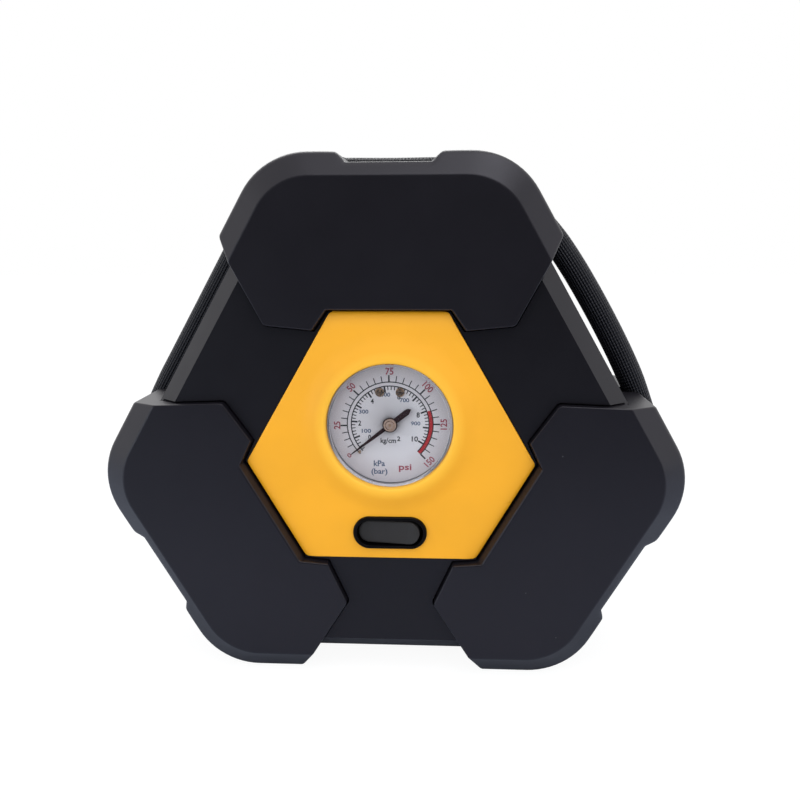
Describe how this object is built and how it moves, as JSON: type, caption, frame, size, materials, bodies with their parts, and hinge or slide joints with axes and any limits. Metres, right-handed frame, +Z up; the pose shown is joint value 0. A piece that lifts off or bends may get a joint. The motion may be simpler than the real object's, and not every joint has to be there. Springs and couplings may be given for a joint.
{
  "type": "portable tire inflator",
  "caption": "Upright three-lobed tire inflator with a yellow hexagonal front panel, dial pressure gauge, rocker switch and an air hose wound in a groove round the case.",
  "frame": {"origin": "bottom centre of the box round the case, on the surface it stands on, without the hose and chuck", "axes": "+X right seen from the front, +Y from the gauge face towards the back, +Z up"},
  "size_m": [0.2141, 0.078, 0.1933],
  "materials": {
    "bumper_plastic": "fine satin texture, charcoal",
    "case_plastic": "fine satin texture, near black",
    "panel_plastic": "satin warm yellow",
    "lens_plastic": "clear polished acrylic",
    "dial_paint": "pale grey printed dial",
    "needle_paint": "matt black",
    "brass": "satin brass",
    "steel": "bright steel",
    "case_steel": "zinc plated steel",
    "switch_plastic": "gloss black",
    "rocker_plastic": "matt charcoal",
    "ferrite": "sintered ferrite",
    "winding": "laminations with copper winding",
    "nylon": "natural nylon",
    "black_nylon": "black nylon",
    "cast_alloy": "as cast",
    "rubber": "soft black rubber",
    "hose_braid": "black textile braid over rubber",
    "vinyl": "translucent tube",
    "lead_vinyl": "red insulation"
  },
  "bodies": {
    "case": {"front_shell": "case_plastic", "rear_shell": "case_plastic", "front_panel": "panel_plastic", "rear_grille": "case_plastic", "front_bumper_top": "bumper_plastic", "front_bumper_right": "bumper_plastic", "front_bumper_left": "bumper_plastic", "rear_bumper_top": "bumper_plastic", "rear_bumper_right": "bumper_plastic", "rear_bumper_left": "bumper_plastic", "case_screws": "steel", "gauge_case": "case_steel", "gauge_dial": "dial_paint", "dial_screws": "brass", "stop_pin": "brass", "bourdon_tube": "brass", "movement_plate": "brass", "gauge_lens": "lens_plastic", "switch_housing": "switch_plastic", "switch_terminals": "brass", "motor_can": "case_steel", "motor_magnets": "ferrite", "motor_endcap": "nylon", "pump_frame": "cast_alloy", "gear_axle": "steel", "pump_cylinder": "cast_alloy", "valve_plate": "steel", "cylinder_head": "cast_alloy", "head_screws": "steel", "pump_bushes": "rubber", "pump_screws": "steel", "gauge_tube": "vinyl", "outlet_tube": "vinyl", "hose_outlet": "brass", "air_hose": "hose_braid", "hose_ferrule": "steel", "chuck_body": "brass", "chuck_seal": "rubber", "lever_pin": "steel", "chuck_clip": "case_plastic", "cord_gland": "rubber", "motor_leads": "lead_vinyl"},
    "needle": {"needle": "needle_paint", "needle_arbor": "brass"},
    "sector": {"sector_gear": "brass"},
    "rocker": {"switch_rocker": "rocker_plastic"},
    "rotor": {"armature": "winding", "motor_shaft": "steel", "drive_pinion": "brass", "cooling_fan": "black_nylon"},
    "crank": {"crank_gear": "nylon", "crank_pin": "steel"},
    "piston": {"piston_rod": "cast_alloy", "piston_seal": "black_nylon"},
    "lever": {"chuck_lever": "black_nylon"}
  },
  "joints": [
    {"name": "needle_turn", "type": "hinge", "parent": "case", "child": "needle", "pos_m": [0, -0.034, 0.0972], "axis": [0, 1, 0], "range_deg": [0, 263], "stiffness_Nm_per_rad": 0.0004},
    {"name": "sector_swing", "type": "hinge", "parent": "case", "child": "sector", "pos_m": [0, -0.0265, 0.0792], "axis": [0, 1, 0], "range_deg": [-38, 0]},
    {"name": "rocker_tilt", "type": "hinge", "parent": "case", "child": "rocker", "pos_m": [0, -0.0334, 0.0573], "axis": [0, 0, 1], "range_deg": [0, 14]},
    {"name": "motor_spin", "type": "hinge", "parent": "case", "child": "rotor", "pos_m": [0, 0.009, 0.0496], "axis": [1, 0, 0], "continuous": true},
    {"name": "crank_turn", "type": "hinge", "parent": "case", "child": "crank", "pos_m": [0, 0.009, 0.072], "axis": [1, 0, 0], "continuous": true},
    {"name": "piston_slide", "type": "slide", "parent": "case", "child": "piston", "axis": [0, 0, 1], "range_m": [0, 0.012]},
    {"name": "lever_swing", "type": "hinge", "parent": "case", "child": "lever", "pos_m": [-0.004, 0.002, 0.0071], "axis": [0, 0, -1], "range_deg": [0, 90]}
  ],
  "couplings": [
    {"joint": "sector_swing", "follows": "needle_turn", "ratio": -0.125},
    {"joint": "crank_turn", "follows": "motor_spin", "ratio": -0.24444}
  ]
}
